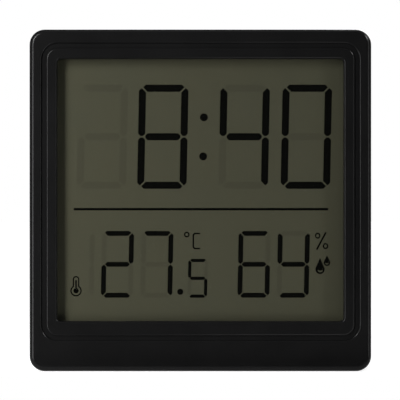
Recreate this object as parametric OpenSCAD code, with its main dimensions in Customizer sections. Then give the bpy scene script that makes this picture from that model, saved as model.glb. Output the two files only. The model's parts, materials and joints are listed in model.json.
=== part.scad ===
// Digital desk and wall clock with thermometer and hygrometer.
// Every piece is drawn lying on its back, face up (x across, y up the face, z towards the viewer),
// and is then stood upright with its face towards -Y and its base on Z = 0.

/* [Window and borders] */
// Width of the display window
window_w = 75.4; // [68:0.2:84]
// Height of the display window
window_h = 69; // [63:0.5:80]
// Corner radius of the window
window_r = 1; // [0.6:0.1:2]
// Rounding of the window's front edge
window_lip = 0.6; // [0.1:0.05:0.8]
// Case beside the window, left and right
side_border = 7.3; // [6.6:0.1:12]
// Case above the window
top_border = 7.8; // [7.2:0.1:14]
// Case below the window
chin_h = 13.2; // [12:0.1:20]

/* [Bezel ring] */
// Width of the raised ring above and beside the window
ring_w = 2.9; // [2:0.05:3.1]
// Width of the raised ring below the window
ring_foot = 3.85; // [2.5:0.05:4.5]
// Corner radius of the raised ring
ring_r = 3; // [2:0.1:4]
// Width of the sunk groove around the ring
groove_w = 1.2; // [0.9:0.05:1.8]
// Depth of the groove
groove_depth = 0.6; // [0.4:0.05:1.1]
// Rounding of the groove's lips
groove_lip = 0.5; // [0.1:0.05:0.55]

/* [Case] */
// Corner radius of the case seen from the front
corner_r = 4; // [3.2:0.1:7]
// Side walls of both case halves
wall = 1.8; // [1.4:0.1:2]
// Thickness of the front plate and of the back
face_t = 2; // [1.8:0.1:2.6]
// Rounding of the front edge
front_round = 1.3; // [0.5:0.1:1.6]
// Rounding of the back edge
back_round = 1.3; // [0.5:0.1:1.6]
// Depth of the front half
front_half_d = 13; // [12:0.5:14]
// Rounding of the openings in the back
back_lip = 0.3; // [0.1:0.05:0.4]
// Open line between the case halves
parting_gap = 0.3; // [0.1:0.05:0.6]
// Reach of the rear half's tongue into the front half
tongue_h = 1.5; // [1:0.1:2]
// Thickness of the tongue
tongue_t = 0.8; // [0.6:0.1:1]

/* [Display] */
// Adhesive frame under the lens
tape_t = 0.2; // [0.1:0.05:0.4]
// Thickness of the lens
lens_t = 1.2; // [0.8:0.1:2]
// How far the lens reaches past the window
lens_lap = 1.5; // [1.3:0.1:1.9]
// Foam frame between lens and display
gasket_t = 0.3; // [0.2:0.05:0.6]
// Front film of the display
polariser_t = 0.2; // [0.1:0.05:0.3]
// How far the display films reach past the window
film_lap = 1; // [0.7:0.1:1.1]
// Thickness of each display glass
glass_t = 1.1; // [0.7:0.1:1.5]
// How far the glass reaches past the window above and beside it
glass_lap = 1.3; // [1.2:0.05:1.45]
// How far the rear glass reaches below the window
glass_foot = 2; // [1.4:0.1:2.4]
// Contact ledge of the front glass below the rear glass
ledge_h = 3.8; // [3.2:0.1:4.4]
// Space between the two glasses
cell_gap = 0.1; // [0.05:0.05:0.2]
// Width of the display's edge seal
seal_w = 0.8; // [0.5:0.1:0.9]
// Reflector behind the rear glass
reflector_t = 0.3; // [0.2:0.05:0.5]
// Plate behind the display
carrier_t = 1.2; // [1:0.1:2]
// Width of the elastomer connector
zebra_w = 1.8; // [1.4:0.1:2.2]
// Length of the elastomer connector
zebra_l = 72; // [50:1:73]

/* [Board] */
// Thickness of the circuit board
board_t = 1.2; // [0.8:0.1:1.6]
// Edge of each push switch
switch_w = 6; // [5:0.5:7]
// Height of each push switch
switch_h = 3.5; // [3:0.1:4.5]
// Diameter of a switch key
key_d = 3.4; // [2.8:0.1:3.8]
// Height of a switch key above its switch
key_h = 0.8; // [0.5:0.1:1.2]
// Diameter of the chip cover
blob_d = 11; // [8:0.5:14]
// Height of the chip cover
blob_h = 1.4; // [0.8:0.1:2]

/* [Buttons] */
// Diameter of a button cap
button_d = 7; // [6:0.1:8]
// Rounding of a button cap
button_round = 0.5; // [0.2:0.05:0.6]
// Diameter of a button's collar inside the case
collar_d = 9; // [8.4:0.1:9.4]
// Thickness of the collar
collar_t = 1; // [0.8:0.1:1.5]
// Distance from button to button
button_pitch = 11; // [10.4:0.1:11.8]
// Height of the lowest button above the base
button_y = 16; // [14.5:0.5:17]
// Distance of the buttons from the side of the case
button_inset = 15; // [14:0.1:16]
// How deep the caps sit below the back
button_sunk = 0.3; // [0.1:0.05:0.6]
// Width of the sunk mark on a cap
mark_w = 2.4; // [1.6:0.1:3]
// Depth of the mark
mark_depth = 0.2; // [0.1:0.05:0.4]
// Travel of a button
button_travel = 0.35; // [0.2:0.05:0.5]

/* [Battery] */
// Diameter of the cell
cell_d = 10.5; // [9.5:0.1:11.5]
// Length of the cell with its tip
cell_l = 44.5; // [40:0.5:48]
// Diameter of the cell's tip
tip_d = 3.8; // [3:0.1:5]
// Height of the cell's tip
tip_h = 1.2; // [0.8:0.1:1.6]
// Room for the spring
spring_l = 5; // [4.9:0.1:6]
// Wire of the spring
wire_d = 0.6; // [0.4:0.05:0.65]
// Turns of the spring
spring_turns = 4; // [3:0.5:4]
// Diameter of the spring at the contact plate
spring_d = 7; // [6:0.1:8]
// Diameter of the spring at the cell
spring_tip_d = 4.6; // [4:0.1:6]
// Thickness of the contact plates
contact_t = 0.4; // [0.3:0.05:0.5]
// Walls of the battery bay
bay_wall = 1.2; // [1:0.1:1.6]
// Distance of the cell's axis from the top of the case
bay_drop = 31; // [30:0.5:33]
// Thickness of the battery door
door_t = 1.6; // [1.4:0.1:1.8]
// How far the door reaches past the bay
door_lap = 2.6; // [2.4:0.1:2.8]
// Rounding of the door's outer edges
door_round = 0.4; // [0.2:0.05:0.6]
// Width of the catch in the door's upper edge
catch_w = 12; // [8:0.5:14]
// Length of the slits beside the catch
slit_l = 4.5; // [3:0.1:5]
// Width of the door's hooks
hook_w = 6; // [4:0.5:8]
// Distance between the middles of the hooks
hook_span = 32; // [24:1:36]
// Diameter of the leads
lead_d = 1.2; // [0.8:0.1:1.4]

/* [Stand] */
// Width of the stand
stand_w = 34; // [26:1:36]
// Thickness of the stand
stand_t = 2.6; // [2.2:0.1:3]
// Rounding of the stand's outer edges
stand_round = 0.4; // [0.2:0.05:0.6]
// Height of the folded stand's foot above the base
stand_foot = 3.5; // [3.2:0.1:8]
// Largest angle of the stand
stand_angle = 33; // [25:1:40]
// Diameter of the stand's trunnions
trunnion_d = 2.2; // [1.6:0.1:2.4]
// Length of each trunnion
trunnion_l = 1.6; // [1.2:0.1:2]

/* [Keyhole and vents] */
// Diameter of the keyhole's entry
key_entry_d = 8; // [7:0.5:10]
// Width of the keyhole's slot
key_slot_w = 4; // [3.4:0.1:4.4]
// Rise of the slot above the entry
key_rise = 6; // [5:0.5:7]
// Distance of the entry from the top of the case
key_drop = 13; // [12:0.5:14]
// Depth of the closed pocket behind the keyhole
key_pocket = 4; // [3:0.1:4.6]
// Number of vent slots
vent_count = 6; // [3:1:7]
// Distance from vent to vent
vent_pitch = 4; // [3:0.5:4.5]
// Width of a vent slot
vent_w = 1.6; // [1:0.1:2]
// Length of a vent slot
vent_l = 13; // [9:0.5:14]

/* [Screws] */
// Shank diameter of the case screws
case_screw_d = 2; // [1.6:0.1:2.2]
// Length of the case screws under the head
case_screw_l = 10; // [8:0.5:11]
// Head diameter of the case screws
case_head_d = 3.6; // [3.2:0.1:3.8]
// Head height of the case screws
case_head_h = 1.5; // [1:0.1:2]
// Shank diameter of the board screws
board_screw_d = 1.6; // [1.2:0.1:1.8]
// Length of the board screws under the head
board_screw_l = 5; // [4.5:0.1:6]
// Head diameter of the board screws
board_head_d = 3; // [2.6:0.1:3.2]
// Head height of the board screws
board_head_h = 1.1; // [0.8:0.1:1.4]

/* [Hidden] */
$fn = 64;

// Clearances
slip = 0.05;        // round pins and screws, all round
loose = 0.2;        // pieces dropped into a pocket
room = 0.3;         // pieces that move past each other
overcut = 0.5;      // how far cuts run past a face

// Overall size follows from the window, its borders and the layers front to back
case_w = window_w + 2 * side_border;
case_h = chin_h + window_h + top_border;
bay_gap = 0.5;      // between the display carrier and the bay floor
cell_play = 0.2;    // between the cell and the bay floor
door_play = 0.3;    // between the cell and the door
display_d = polariser_t + 2 * glass_t + cell_gap + reflector_t;
front_stack_d = face_t + tape_t + lens_t + gasket_t + display_d + carrier_t;
case_d = front_stack_d + bay_gap + bay_wall + cell_play + cell_d + door_play + door_t;

// Front faces of the layers
face_z = case_d / 2;
back_z = -case_d / 2;
plate_z = face_z - face_t;
lens_z = plate_z - tape_t;
gasket_z = lens_z - lens_t;
polariser_z = gasket_z - gasket_t;
front_glass_z = polariser_z - polariser_t;
seal_z = front_glass_z - glass_t;
rear_glass_z = seal_z - cell_gap;
reflector_z = rear_glass_z - glass_t;
carrier_z = reflector_z - reflector_t;
board_z = carrier_z - carrier_t;
board_back_z = board_z - board_t;
part_z = face_z - front_half_d;
wall_z = back_z + face_t;

// Display outline
window_top = chin_h + window_h;
window_mid = chin_h + window_h / 2;
lens_w = window_w + 2 * lens_lap;
glass_w = window_w + 2 * glass_lap;
glass_top = window_top + glass_lap;
rear_glass_y = chin_h - glass_foot;
front_glass_y = rear_glass_y - ledge_h;
ledge_mid = rear_glass_y - ledge_h / 2;

// Board and its fixings
boss_r = 2;                                         // case screw bosses
post_r = 1.8;                                       // board screw posts
inner_w = case_w - 2 * wall;
board_w = inner_w - 2 * room;
board_y = front_glass_y - 2 * loose;
screw_x = window_w / 2 + room;
screw_low_y = board_y - 2 * loose - boss_r;
screw_high_y = window_top + lens_lap + loose + boss_r;
post_x = lens_w / 2 + 2 * (loose + slip) + post_r;
post_rise = 7;                                      // lowest posts above the board's lower edge
post_low_y = board_y + post_rise;
web_t = 1.2;                                        // webs from bosses to walls
rib_t = 1;                                          // ribs that locate the display
rib_l = 8;
rib_low = 8;                                        // side ribs below and above the window's middle
rib_high = 10;

// Battery bay
bay_y = case_h - bay_drop;
cell_z = back_z + door_t + door_play + cell_d / 2;
floor_z = cell_z + cell_d / 2 + cell_play;
bay_l = cell_l + spring_l + 2 * contact_t + loose;
bay_h = cell_d + 4 * loose;
bay_low = bay_y - bay_h / 2;
crimp_r = 0.5;                                      // rolled ends of the cell
ledge_t = 1.2;                                      // seat of the door
door_w = bay_l + 2 * door_lap;
door_h = bay_h + 2 * door_lap;
door_low = bay_y - door_h / 2;
door_r = 1.5;
hook_t = 1.4;
hook_reach = 1.6;                                   // hook under the rim
hook_z = wall_z + slip * 2;
scoop_r = 4.5;                                      // finger scoop above the door
slit_w = 0.8;
grip_count = 4;                                     // grip lines below the catch
grip_pitch = 1.6;
grip_w = 0.8;
grip_d = 0.4;
contact_x = bay_l / 2 - loose / 2 - contact_t / 2;  // middle of each contact plate
contact_inset = 0.5;                                // contact plates inside the cell's outline
contact_h = cell_d - 2 * contact_inset;
tail_w = 2.5;
tail_reach = 1.6;                                   // tail below the bay wall

// Stand
pivot_drop = 5.2;                                   // pivot below the door's hooks
pivot_y = door_low - hook_reach - pivot_drop;
pivot_z = back_z + slip * 2 + stand_t / 2;
recess_d = stand_t + slip * 2 + 2 * loose;
recess_z = back_z + recess_d;
heel_in = 0.3;                                      // inner face of the heel behind the pivot
heel_h = (recess_z - pivot_z - slip - heel_in * cos(stand_angle)) / sin(stand_angle);
recess_top = pivot_y + norm([stand_t / 2, heel_h]) + room;
recess_low = stand_foot - room;
recess_r = 1;
stand_r = 3;
pocket_t = 1.4;                                     // floor and walls of recess and keyhole pocket
cheek_w = trunnion_l + pocket_t;
board_over = 2;                                     // board above the stand's pivot
board_top = pivot_y + board_over;
post_drop = 6;                                      // middle posts below the board's upper edge
post_high_y = board_top - post_drop;
carrier_drop = 12;                                  // upper posts below the window's upper edge
carrier_post_y = window_top - carrier_drop;

// Buttons and switches
button_x = case_w / 2 - button_inset;
switch_z = board_back_z - switch_h;
key_z = switch_z - key_h;
stem_d = key_d;
cap_z = back_z + button_sunk;
collar_z = wall_z + slip;
vent_mid_y = button_y + button_pitch;

// Screw seats
seat_t = 3;                                         // plastic under the case screw heads
case_seat_z = part_z - seat_t;
bore_spare = 1;                                     // screw holes past the screw's end
head_play = 0.2;
cross_l = 0.6;                                      // cross recess, shares of the head
cross_w = 0.18;

// Stands the drawing upright
module upright() {
    rotate([90, 0, 0]) children();
}

// One layer of the stack, front face at z
module layer(z, t) {
    translate([0, 0, z - t]) linear_extrude(t) children();
}

// Rectangle with round corners, centred
module round_rect(w, h, r) {
    square([w - 2 * r, h], center = true);
    square([w, h - 2 * r], center = true);
    for (x = [-1, 1], y = [-1, 1]) {
        translate([x * (w / 2 - r), y * (h / 2 - r)]) circle(r);
    }
}

// Rectangle round the window, reaching past it by lap on every side
module window_plate(lap, r) {
    translate([0, window_mid]) round_rect(window_w + 2 * lap, window_h + 2 * lap, r);
}

// Rectangle from y low to y high, centred on x
module span_plate(w, low, high) {
    translate([-w / 2, low]) square([w, high - low]);
}

// Inside of the case walls, drawn in by inset
module inner_outline(inset) {
    round_rect(inner_w - 2 * inset, case_h - 2 * (wall + inset), corner_r - wall - inset);
}

// Runs a profile round a rectangle with round corners; the profile's x points outwards
module sweep_ring(w, h, r) {
    for (turn = [0, 1]) {
        rotate(180 * turn) {
            translate([w / 2, h / 2 - r, 0]) rotate([90, 0, 0]) linear_extrude(h - 2 * r) children();
            translate([-w / 2 + r, h / 2, 0]) rotate([90, 0, 90]) linear_extrude(w - 2 * r) children();
            translate([w / 2 - r, h / 2 - r, 0]) rotate_extrude(angle = 90) translate([r, 0]) children();
            translate([-w / 2 + r, h / 2 - r, 0]) rotate(90) rotate_extrude(angle = 90)
                translate([r, 0]) children();
        }
    }
}

// Material cut away to roll an edge over; the side of the block lies on x = 0 and its face on y = 0
module edge_cut(roll) {
    translate([-roll, -roll]) difference() {
        square(roll + overcut);
        circle(roll);
    }
}

// Block with round corners whose upper edge is rolled over
module rolled_block(w, h, r, roll, depth) {
    difference() {
        linear_extrude(depth) round_rect(w, h, r);
        translate([0, 0, depth]) sweep_ring(w, h, r) edge_cut(roll);
    }
}

// Material cut away to round a lip on the outer side of a wall
module lip_cut(lip) {
    difference() {
        translate([-loose, -lip]) square([lip + loose, lip + overcut]);
        translate([lip, -lip]) circle(lip);
        translate([lip, -lip]) square([overcut, overcut + lip]);
    }
}

// Turns a lip cut over to the back of the case
module back_edge() {
    translate([0, 0, back_z]) mirror([0, 0, 1]) children();
}

// Section of the sunk groove, its middle on x = 0
module groove_section() {
    lip = min(groove_lip, groove_depth - slip);
    translate([-groove_w / 2, -groove_depth]) square([groove_w, groove_depth + overcut]);
    for (side = [0, 1]) {
        mirror([side, 0]) difference() {
            translate([groove_w / 2 - loose, -lip]) square([lip + loose, lip + overcut]);
            translate([groove_w / 2 + lip, -lip]) circle(lip);
        }
    }
}

// The four case screw places
module at_case_screws() {
    for (x = [-screw_x, screw_x], y = [screw_low_y, screw_high_y]) {
        translate([x, y, 0]) children();
    }
}

// The board screw places; the upper pair holds the display carrier alone
module at_posts(heights) {
    for (x = [-post_x, post_x], y = heights) {
        translate([x, y, 0]) children();
    }
}

// The three button places
module at_button(place) {
    translate([button_x, button_y + place * button_pitch, 0]) children();
}

module front_posts() {
    // bosses for the case screws, tied to the top and bottom walls
    at_case_screws() layer(plate_z, plate_z - part_z) circle(boss_r);
    web_d = plate_z - part_z - tongue_h - 2 * room;
    for (x = [-screw_x, screw_x]) {
        layer(plate_z, web_d) translate([x - web_t / 2, wall / 2]) square([web_t, screw_low_y - wall / 2]);
        layer(plate_z, web_d) translate([x - web_t / 2, screw_high_y])
            square([web_t, case_h - wall / 2 - screw_high_y]);
    }
    // posts for the board screws, tied to the side walls
    for (side = [-1, 1], y = [post_low_y, post_high_y, carrier_post_y]) {
        layer(plate_z, plate_z - carrier_z) translate([side * post_x, y]) circle(post_r);
        layer(plate_z, plate_z - carrier_z) translate([side * (post_x + case_w / 2 - wall / 2) / 2, y])
            square([case_w / 2 - wall / 2 - post_x, web_t], center = true);
    }
    // ribs that locate lens and display
    rib_d = plate_z - reflector_z;
    rib_x = lens_w / 2 + loose;
    for (side = [-1, 1], y = [window_mid - rib_low, window_mid + rib_high]) {
        layer(plate_z, rib_d) translate([side * (rib_x + rib_t / 2), y])
            square([rib_t, rib_l], center = true);
    }
    for (x = [-window_w / 4, window_w / 4]) {
        layer(plate_z, rib_d) translate([x, window_top + lens_lap + loose + rib_t / 2])
            square([rib_l, rib_t], center = true);
        layer(plate_z, rib_d) translate([x, front_glass_y - loose - rib_t / 2])
            square([rib_l, rib_t], center = true);
    }
}

module front_case() {
    ring_high = window_h + ring_w + ring_foot;
    ring_mid = window_mid + (ring_w - ring_foot) / 2;
    groove_path_w = window_w + 2 * ring_w + groove_w;
    groove_path_h = ring_high + groove_w;
    color("#1a1a1c") upright() difference() {
        union() {
            difference() {
                translate([0, case_h / 2, part_z])
                    rolled_block(case_w, case_h, corner_r, front_round, front_half_d);
                translate([0, case_h / 2, part_z - overcut]) linear_extrude(plate_z - part_z + overcut)
                    inner_outline(0);
            }
            front_posts();
        }
        layer(face_z + overcut, face_t + 2 * overcut) window_plate(0, window_r);
        translate([0, window_mid, face_z]) sweep_ring(window_w, window_h, window_r) lip_cut(window_lip);
        translate([0, ring_mid, face_z]) sweep_ring(groove_path_w, groove_path_h, ring_r + groove_w / 2)
            groove_section();
        at_case_screws() translate([0, 0, part_z - overcut])
            cylinder(d = case_screw_d + 2 * slip, h = case_screw_l - seat_t + bore_spare + overcut);
        at_posts([post_low_y, post_high_y, carrier_post_y]) translate([0, 0, carrier_z - overcut])
            cylinder(d = board_screw_d + 2 * slip, h = plate_z - carrier_z - room + overcut);
    }
}

// Outline along the keyhole's slot
module key_plate(d) {
    translate([0, case_h - key_drop]) {
        circle(d = d);
        translate([0, key_rise]) circle(d = d);
        translate([-d / 2, 0]) square([d, key_rise]);
    }
}

// Solid parts that stand on the inside of the back
module rear_inside() {
    // walls of the stand recess and the cheeks that hold the trunnions
    layer(recess_z + pocket_t, recess_z + pocket_t - wall_z + overcut)
        span_plate(stand_w + 2 * (room + pocket_t), wall / 2, recess_top + pocket_t);
    layer(recess_z + pocket_t, recess_z + pocket_t - wall_z + overcut)
        span_plate(stand_w + 2 * (room + cheek_w), pivot_y - trunnion_d - pocket_t, recess_top + pocket_t);
    // seat of the battery door and the bay behind it
    layer(back_z + door_t + ledge_t, door_t + ledge_t - face_t + overcut) translate([0, bay_y])
        square([door_w + 2 * (loose + bay_wall), door_h + 2 * (loose + bay_wall)], center = true);
    layer(floor_z + bay_wall, floor_z + bay_wall - wall_z) translate([0, bay_y])
        square([bay_l + 2 * bay_wall, bay_h + 2 * bay_wall], center = true);
    // pocket behind the keyhole
    layer(wall_z + key_pocket + pocket_t, key_pocket + pocket_t + overcut)
        key_plate(key_entry_d + 2 * (room + pocket_t));
    // columns over the case screws
    at_case_screws() layer(part_z, part_z - wall_z + overcut) circle(boss_r + bay_wall / 2);
}

// Everything cut out of the back
module rear_cuts() {
    // stand recess and its trunnion bores
    recess_w = stand_w + 2 * room;
    recess_h = recess_top - recess_low;
    translate([0, recess_low + recess_h / 2, 0]) {
        layer(recess_z, recess_d + overcut) round_rect(recess_w, recess_h, recess_r);
        back_edge() sweep_ring(recess_w, recess_h, recess_r) lip_cut(back_lip);
    }
    translate([0, pivot_y, pivot_z]) rotate([0, 90, 0])
        cylinder(d = trunnion_d + 2 * slip, h = stand_w + 2 * (trunnion_l + room), center = true);
    // door seat, bay, hook notches and finger scoop
    translate([0, bay_y, 0]) {
        layer(back_z + door_t, door_t + overcut)
            round_rect(door_w + 2 * loose, door_h + 2 * loose, door_r + loose);
        back_edge() sweep_ring(door_w + 2 * loose, door_h + 2 * loose, door_r + loose) lip_cut(back_lip);
    }
    layer(floor_z, floor_z - back_z) translate([0, bay_y]) square([bay_l, bay_h], center = true);
    // relief that lets the door roll on its rounded lower edge
    layer(back_z + door_t + room, room + overcut) intersection() {
        translate([0, bay_y]) round_rect(door_w + 2 * loose, door_h + 2 * loose, door_r + loose);
        span_plate(door_w + 2 * loose, door_low - loose, door_low + 2 * door_round);
    }
    hook_swing = norm([hook_z + hook_t - back_z - door_round, hook_reach + door_round]) + door_round + room;
    for (x = [-hook_span / 2, hook_span / 2]) {
        translate([x - hook_w / 2 - room, 0]) {
            layer(back_z + hook_swing, hook_swing - face_t) translate([0, door_low - hook_reach - room])
                square([hook_w + 2 * room, hook_reach + door_lap + 2 * room]);
            layer(wall_z + overcut, overcut + face_t - door_t) translate([0, door_low - loose])
                square([hook_w + 2 * room, door_lap + 2 * room]);
        }
    }
    layer(back_z + face_t / 2, face_t / 2 + overcut) translate([0, door_low + door_h]) circle(scoop_r);
    // slots for the tails of the contacts
    for (x = [-contact_x, contact_x]) {
        translate([x, bay_low - bay_wall / 2, cell_z + tail_w])
            cube([contact_t + 2 * slip, bay_wall + overcut, tail_w + 2 * slip], center = true);
    }
    // keyhole, which opens into a wider pocket for the screw head
    layer(wall_z + overcut, face_t + 2 * overcut) {
        translate([0, case_h - key_drop]) circle(d = key_entry_d);
        key_plate(key_slot_w);
    }
    layer(wall_z + key_pocket, key_pocket) key_plate(key_entry_d + 2 * room);
    // button holes
    for (place = [0, 1, 2]) {
        at_button(place) {
            translate([0, 0, back_z - overcut]) cylinder(d = button_d + 2 * loose, h = face_t + 2 * overcut);
            back_edge() rotate_extrude() translate([button_d / 2 + loose, 0]) lip_cut(back_lip);
        }
    }
    // vents in front of the sensors
    for (i = [0 : vent_count - 1]) {
        vent_y = vent_mid_y + (i - (vent_count - 1) / 2) * vent_pitch;
        layer(wall_z + overcut, face_t + 2 * overcut) translate([-button_x, vent_y])
            round_rect(vent_l, vent_w, vent_w / 2 - slip);
    }
    // case screw holes with sunk seats
    at_case_screws() {
        translate([0, 0, case_seat_z - overcut])
            cylinder(d = case_screw_d + 2 * loose, h = part_z - case_seat_z + 2 * overcut);
        translate([0, 0, back_z - overcut])
            cylinder(d = case_head_d + 2 * head_play, h = case_seat_z - back_z + overcut);
    }
}

module rear_case() {
    rear_half_d = part_z - parting_gap - back_z;
    tongue_z = part_z + tongue_h;
    color("#1c1c1e") upright() difference() {
        union() {
            // shell whose tongue stands up inside the front half, open where the screw bosses pass
            difference() {
                union() {
                    translate([0, case_h / 2, part_z - parting_gap]) mirror([0, 0, 1])
                        rolled_block(case_w, case_h, corner_r, back_round, rear_half_d);
                    translate([0, case_h / 2, wall_z]) linear_extrude(tongue_z - wall_z)
                        inner_outline(slip);
                }
                translate([0, case_h / 2, wall_z]) linear_extrude(tongue_z - wall_z + overcut)
                    inner_outline(tongue_t);
                at_case_screws() translate([0, 0, part_z])
                    cylinder(r = boss_r + room, h = tongue_h + overcut);
            }
            rear_inside();
        }
        rear_cuts();
    }
}

module lens_tape() {
    color("#101010") upright() layer(plate_z, tape_t) difference() {
        window_plate(lens_lap, window_r);
        window_plate(room, window_r);
    }
}

module display_lens() {
    color("#c8d2d4", 0.3) upright() layer(lens_z, lens_t) window_plate(lens_lap, window_r);
}

module dust_gasket() {
    color("#202022") upright() layer(gasket_z, gasket_t) difference() {
        window_plate(film_lap, window_r);
        window_plate(room, window_r);
    }
}

module lcd_front_polariser() {
    color("#4b4a3a") upright() layer(polariser_z, polariser_t) window_plate(film_lap, slip);
}

module lcd_front_glass() {
    color("#9fb0a8", 0.4) upright() layer(front_glass_z, glass_t)
        span_plate(glass_w, front_glass_y, glass_top);
}

// Outline of the rear glass, drawn in by inset
module seal_plate(inset) {
    span_plate(glass_w - 2 * inset, rear_glass_y + inset, glass_top - inset);
}

module lcd_seal() {
    color("#8a8a7c") upright() layer(seal_z, cell_gap) difference() {
        seal_plate(room);
        seal_plate(room + seal_w);
    }
}

module lcd_rear_glass() {
    color("#9fb0a8", 0.4) upright() layer(rear_glass_z, glass_t) seal_plate(0);
}

module lcd_reflector() {
    color("#8d8f84") upright() layer(reflector_z, reflector_t) window_plate(film_lap, slip);
}

module lcd_carrier() {
    rim = 8;
    band = 6;
    color("#2a2a2c") upright() difference() {
        layer(carrier_z, carrier_t) difference() {
            span_plate(board_w, board_y, glass_top);
            // opening behind the upper line of the display
            span_plate(window_w - 2 * rim, board_top + band, window_top - band);
            // slot for the elastomer connector
            translate([0, ledge_mid]) square([zebra_l + 2 * loose, zebra_w + 2 * slip], center = true);
        }
        at_posts([post_low_y, post_high_y, carrier_post_y]) translate([0, 0, board_z - overcut])
            cylinder(d = board_screw_d + 2 * loose, h = carrier_t + 2 * overcut);
    }
}

module zebra_strip() {
    color("#5a5a62") upright() layer(seal_z, seal_z - board_z) translate([0, ledge_mid])
        square([zebra_l, zebra_w], center = true);
}

module main_board() {
    color("#1e5a36") upright() difference() {
        layer(board_z, board_t) span_plate(board_w, board_y, board_top);
        at_posts([post_low_y, post_high_y]) translate([0, 0, board_back_z - overcut])
            cylinder(d = board_screw_d + 2 * loose, h = board_t + 2 * overcut);
    }
}

// Shallow dome: the cap of a sphere that stands blob_h above the board
module controller_blob() {
    dome_r = (pow(blob_d / 2, 2) + pow(blob_h, 2)) / (2 * blob_h);
    color("#0c0c0c") upright() translate([0, (board_y + board_top) / 2, board_back_z]) rotate_extrude()
        intersection() {
            translate([0, dome_r - blob_h]) circle(dome_r, $fn = 240);
            translate([0, -blob_h]) square([blob_d / 2, blob_h]);
        }
}

module watch_crystal() {
    can_d = 2;
    can_l = 6;
    beside = 4;
    rise = 10;
    color("#c9c9cc") upright()
        translate([blob_d / 2 + beside, board_y + rise, board_back_z - can_d / 2 - slip])
            rotate([0, 90, 0]) cylinder(d = can_d, h = can_l);
}

module chip_capacitors() {
    chip_l = 2;
    chip_w = 1.25;
    chip_t = 0.9;
    chip_pitch = blob_d / 2 + 2 * chip_l;
    rise = 5;
    color("#b79b74") upright() for (i = [-2 : 2]) {
        translate([i * chip_pitch, board_y + rise, board_back_z - chip_t / 2])
            cube([chip_l, chip_w, chip_t], center = true);
    }
}

module humidity_sensor() {
    body_w = 5;
    body_h = 7;
    body_t = 1.6;
    frame_w = 1;
    rise = 4;
    color("#e8e8e4") upright() translate([-button_x, vent_mid_y + rise, board_back_z - body_t / 2])
        difference() {
            cube([body_w, body_h, body_t], center = true);
            // shallow pocket over the sensing film
            translate([0, 0, -body_t / 2])
                cube([body_w - 2 * frame_w, body_h - 2 * frame_w, frame_w], center = true);
        }
}

module thermistor() {
    bead_r = 0.9;
    bead_l = 4;
    drop = 6;
    color("#20402a") upright() translate([-button_x, vent_mid_y - drop, board_back_z - bead_r - slip])
        rotate([0, 90, 0]) {
            cylinder(r = bead_r, h = bead_l, center = true);
            for (z = [-bead_l / 2, bead_l / 2]) {
                translate([0, 0, z]) sphere(bead_r);
            }
        }
}

module tact_switches() {
    color("#2a2a2e") upright() for (place = [0, 1, 2]) {
        at_button(place) difference() {
            translate([0, 0, board_back_z - switch_h / 2])
                cube([switch_w, switch_w, switch_h], center = true);
            translate([0, 0, switch_z - overcut])
                cylinder(d = key_d + 2 * slip, h = overcut + 2 * button_travel + 4 * loose);
        }
    }
}

// Moving key of a push switch
module switch_key(place) {
    color("#3a3a40") upright() at_button(place) translate([0, 0, key_z])
        cylinder(d = key_d, h = key_h + button_travel + loose);
}

// Mark on a cap: a dot on the upper one, arrow heads up and down on the others
module button_mark(place) {
    arrow_h = mark_w * sin(60);
    if (place == 2) {
        circle(d = mark_w);
    } else {
        rotate(place == 1 ? 0 : 180)
            polygon([[-mark_w / 2, -arrow_h / 2], [mark_w / 2, -arrow_h / 2], [0, arrow_h / 2]]);
    }
}

// Button cap with its collar behind the wall and its stem on the switch
module button(place) {
    color("#26262a") upright() at_button(place) difference() {
        union() {
            translate([0, 0, cap_z]) rotate_extrude() {
                square([button_d / 2 - button_round, collar_z - cap_z]);
                translate([0, button_round]) square([button_d / 2, collar_z - cap_z - button_round]);
                translate([button_d / 2 - button_round, button_round]) circle(button_round);
            }
            translate([0, 0, collar_z]) cylinder(d = collar_d, h = collar_t);
            translate([0, 0, collar_z + collar_t]) cylinder(d = stem_d, h = key_z - collar_z - collar_t);
        }
        layer(cap_z + mark_depth, mark_depth + overcut) button_mark(place);
    }
}

module battery_door() {
    color("#1e1e20") upright() difference() {
        union() {
            translate([0, bay_y, back_z + door_t]) mirror([0, 0, 1])
                rolled_block(door_w, door_h, door_r, door_round, door_t);
            // hooks that reach under the rim below the door
            for (x = [-hook_span / 2, hook_span / 2]) {
                layer(hook_z + hook_t, hook_z + hook_t - back_z - door_t)
                    translate([x - hook_w / 2, door_low + slip]) square([hook_w, hook_t]);
                layer(hook_z + hook_t, hook_t)
                    translate([x - hook_w / 2, door_low - hook_reach])
                        square([hook_w, hook_reach + hook_t]);
            }
        }
        // slits that free the catch
        for (side = [-1, 1]) {
            layer(back_z + door_t + overcut, door_t + 2 * overcut)
                translate([side * catch_w / 2, door_low + door_h - slit_l / 2 + overcut / 2])
                    square([slit_w, slit_l + overcut], center = true);
        }
        // grip lines
        for (i = [0 : grip_count - 1]) {
            layer(back_z + grip_d, grip_d + overcut)
                translate([0, door_low + door_h - slit_l - (i + 0.5) * grip_pitch])
                    round_rect(catch_w - 2 * i, grip_w, grip_w / 2 - slip);
        }
    }
}

module battery_cell() {
    tip_x = contact_x - contact_t / 2 - loose / 2;
    color("#6f7f45") upright() translate([tip_x, bay_y, cell_z]) rotate([0, -90, 0]) {
        cylinder(d = tip_d, h = cell_l / 2);
        translate([0, 0, tip_h]) rotate_extrude() {
            square([cell_d / 2 - crimp_r, cell_l - tip_h]);
            translate([0, crimp_r]) square([cell_d / 2, cell_l - tip_h - 2 * crimp_r]);
            for (end = [crimp_r, cell_l - tip_h - crimp_r]) {
                translate([cell_d / 2 - crimp_r, end]) circle(crimp_r);
            }
        }
    }
}

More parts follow.
